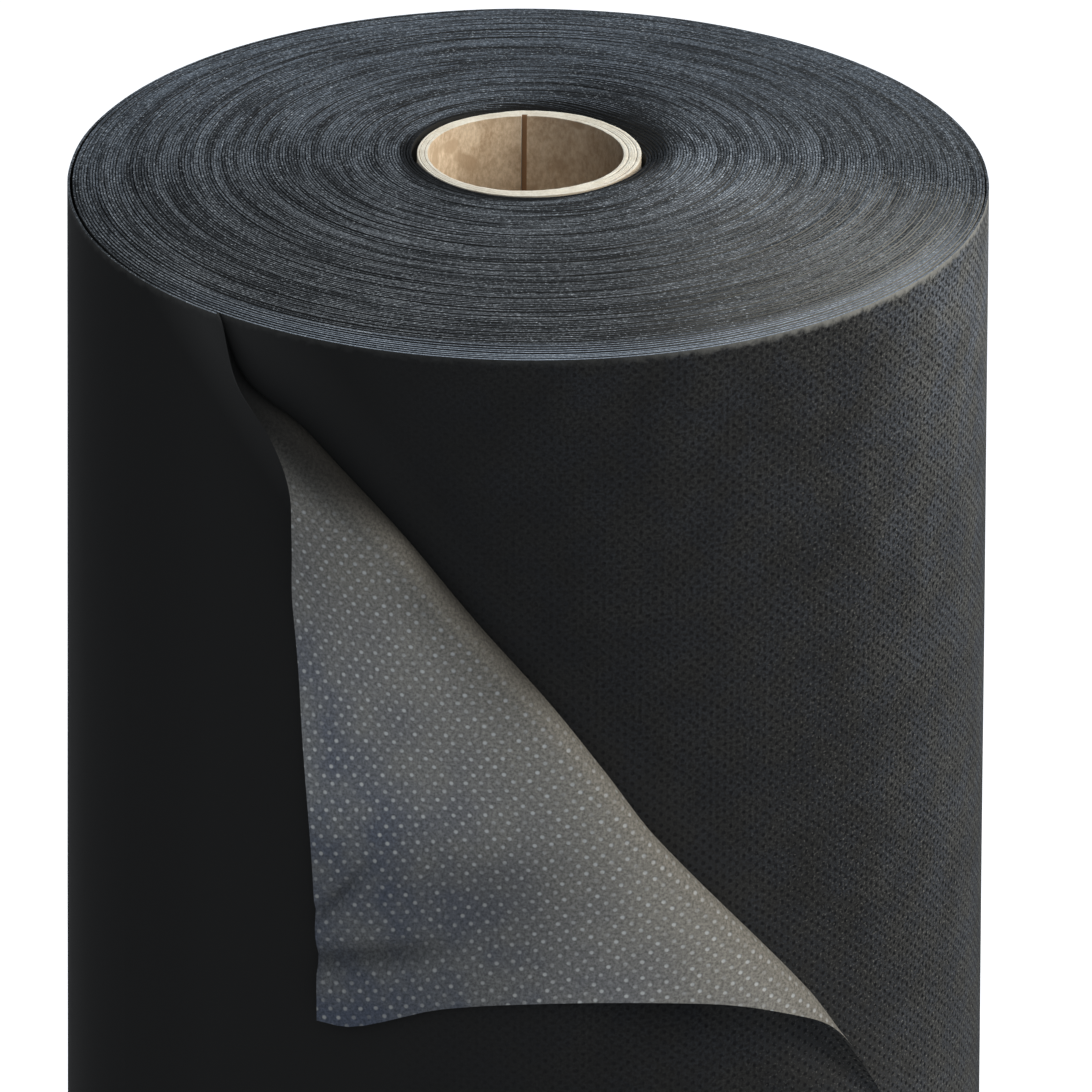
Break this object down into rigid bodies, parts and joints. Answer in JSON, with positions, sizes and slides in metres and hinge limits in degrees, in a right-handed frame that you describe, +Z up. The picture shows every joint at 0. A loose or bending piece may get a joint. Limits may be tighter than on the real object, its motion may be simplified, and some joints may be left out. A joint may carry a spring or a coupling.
{
  "type": "roll of agricultural fleece",
  "caption": "Upright roll of black spunbond fleece wound on a cardboard tube, with one corner of its free end folded back to show the paler reverse.",
  "frame": {"origin": "on the roll's axis, in the plane that the roll stands on", "axes": "+Z up along the roll's axis, -Y towards the side with the turned-back corner, +X to the right as the corner is faced"},
  "size_m": [0.2332, 0.2416, 0.803],
  "materials": {
    "fleece": "matte point-bonded spunbond, black",
    "fleece_reverse": "matte point-bonded spunbond, paler reverse with pale bond dots",
    "card_inner": "tan kraft liner with faint stains",
    "card_body": "cut cream board",
    "card_outer": "cream kraft paper",
    "tape": "plain paper tape"
  },
  "bodies": {
    "roll": {"core_inner_ply": "card_inner", "core_body_plies": "card_body", "core_outer_ply": "card_outer", "starting_tape": "tape", "wound_fleece": "fleece", "outer_lap": "fleece"},
    "free_end": {"loose_end": "fleece"},
    "corner": {"folded_corner": "fleece_reverse"}
  },
  "joints": [
    {"name": "web_peel", "type": "hinge", "parent": "roll", "child": "free_end", "pos_m": [-0.10141, -0.05855, 0.4], "axis": [0, 0, -1], "range_deg": [0, 40]},
    {"name": "corner_lift", "type": "hinge", "parent": "free_end", "child": "corner", "pos_m": [0.05126, -0.1096, 0.65093], "axis": [-0.58, -0.2162, 0.7854], "range_deg": [0, 30]}
  ]
}
